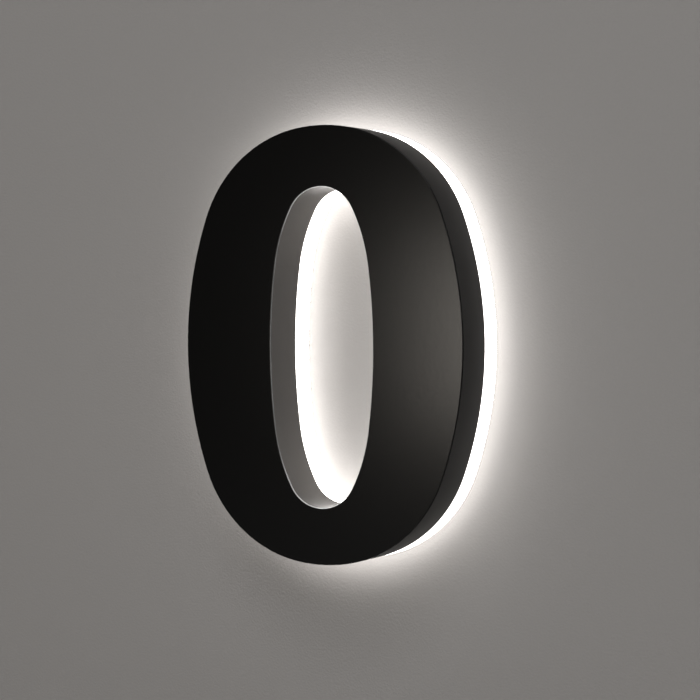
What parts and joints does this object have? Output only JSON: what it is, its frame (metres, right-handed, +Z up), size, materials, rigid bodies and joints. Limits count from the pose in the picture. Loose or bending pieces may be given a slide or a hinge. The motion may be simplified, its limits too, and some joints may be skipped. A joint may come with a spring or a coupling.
{
  "type": "illuminated house number sign",
  "caption": "Halo-lit house number, digit nought: black metal cover that pulls off an opal tray with light modules, fixed flat to a wall.",
  "frame": {"origin": "middle of the digit's height and width, on the wall plane", "axes": "+Z up, +Y into the wall, +X to the viewer's right; the face looks along -Y"},
  "size_m": [0.141, 0.0375, 0.2],
  "materials": {
    "black_coat": "satin black powder coat",
    "white_film": "white reflecting film",
    "block_metal": "plain milled",
    "black_steel": "black oxide",
    "opal_acrylic": "opal acrylic, lit from inside",
    "carrier_metal": "white coated sheet",
    "rivet_nylon": "natural nylon",
    "seal_rubber": "soft black rubber",
    "gasket_foam": "grey closed-cell foam",
    "bracket_steel": "zinc-plated sheet",
    "screw_steel": "plain stainless steel",
    "gland_nylon": "dark grey nylon",
    "terminal_plastic": "pale moulded nylon",
    "terminal_brass": "plain brass",
    "sleeve_brass": "turned brass",
    "module_plastic": "white moulded plastic",
    "lens_clear": "clear moulded lens",
    "led_phosphor": "yellow phosphor on a white carrier",
    "tape_foam": "white foam tape",
    "lead_sheath": "white sheathed lead"
  },
  "bodies": {
    "wall_unit": {"bracket_screw_bottom": "screw_steel", "bracket_screw_top": "screw_steel", "carrier_plate": "carrier_metal", "carrier_rivets": "rivet_nylon", "counter_shell_seal": "seal_rubber", "counter_wall_gasket": "gasket_foam", "gland_body": "gland_nylon", "gland_cap": "gland_nylon", "gland_locknut": "gland_nylon", "gland_seal": "seal_rubber", "jumper_1": "lead_sheath", "jumper_2": "lead_sheath", "jumper_3": "lead_sheath", "jumper_4": "lead_sheath", "jumper_5": "lead_sheath", "jumper_6": "lead_sheath", "jumper_7": "lead_sheath", "led_chips": "led_phosphor", "lock_bracket_bottom": "bracket_steel", "lock_bracket_top": "bracket_steel", "module_housing_1": "module_plastic", "module_housing_2": "module_plastic", "module_housing_3": "module_plastic", "module_housing_4": "module_plastic", "module_housing_5": "module_plastic", "module_housing_6": "module_plastic", "module_housing_7": "module_plastic", "module_housing_8": "module_plastic", "module_lens_1": "lens_clear", "module_lens_2": "lens_clear", "module_lens_3": "lens_clear", "module_lens_4": "lens_clear", "module_lens_5": "lens_clear", "module_lens_6": "lens_clear", "module_lens_7": "lens_clear", "module_lens_8": "lens_clear", "module_tapes": "tape_foam", "mount_sleeve_1": "sleeve_brass", "mount_sleeve_2": "sleeve_brass", "mount_sleeve_3": "sleeve_brass", "mount_sleeve_4": "sleeve_brass", "opal_back": "opal_acrylic", "outer_shell_seal": "seal_rubber", "outer_wall_gasket": "gasket_foam", "supply_leads": "lead_sheath", "terminal_body": "terminal_plastic", "terminal_clamps": "terminal_brass", "terminal_fixing_screw": "screw_steel", "terminal_screws": "screw_steel"},
    "cover": {"face_plate": "black_coat", "outer_return": "black_coat", "counter_return": "black_coat", "reflector_liner": "white_film", "lock_block_top": "block_metal", "lock_block_bottom": "block_metal", "lock_screw_top": "black_steel", "lock_screw_bottom": "black_steel"}
  },
  "joints": [
    {"name": "cover_pull_off", "type": "slide", "parent": "wall_unit", "child": "cover", "axis": [0, -1, 0], "range_m": [0, 0.06]}
  ]
}
